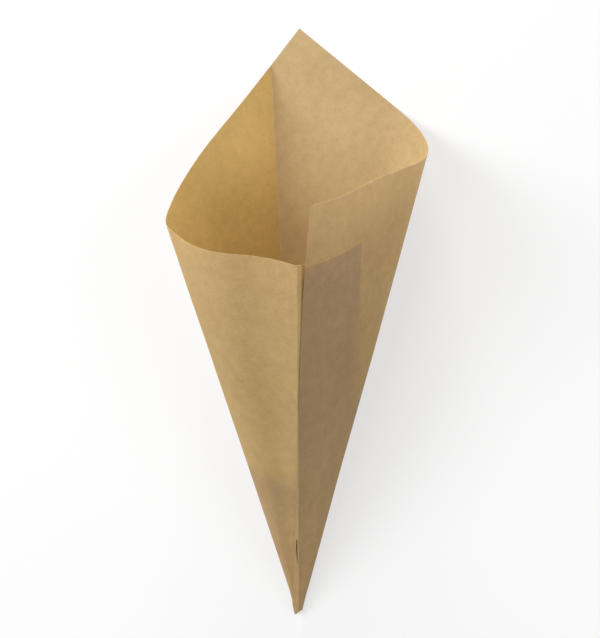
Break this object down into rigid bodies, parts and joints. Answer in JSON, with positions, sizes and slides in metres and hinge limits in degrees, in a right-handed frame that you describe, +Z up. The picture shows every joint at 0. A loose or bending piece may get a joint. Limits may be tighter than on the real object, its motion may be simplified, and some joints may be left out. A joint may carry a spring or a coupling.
{
  "type": "paper fry cone",
  "caption": "Tapering cone of brown kraft paper for fries or snacks, rolled from a sheet, with a raised pointed back, crisp folds and a glued front flap",
  "frame": {"origin": "centre of the footprint, on the surface the cone lies on, under its flat back panel", "axes": "+Y runs from the tip to the peak of the raised back, +Z is up with the front fold on top, +X is to the right seen from the front"},
  "size_m": [0.107, 0.2802, 0.0973],
  "materials": {
    "kraft_paper": "matte"
  },
  "bodies": {
    "root": {"paper_cone": "kraft_paper"}
  },
  "joints": []
}
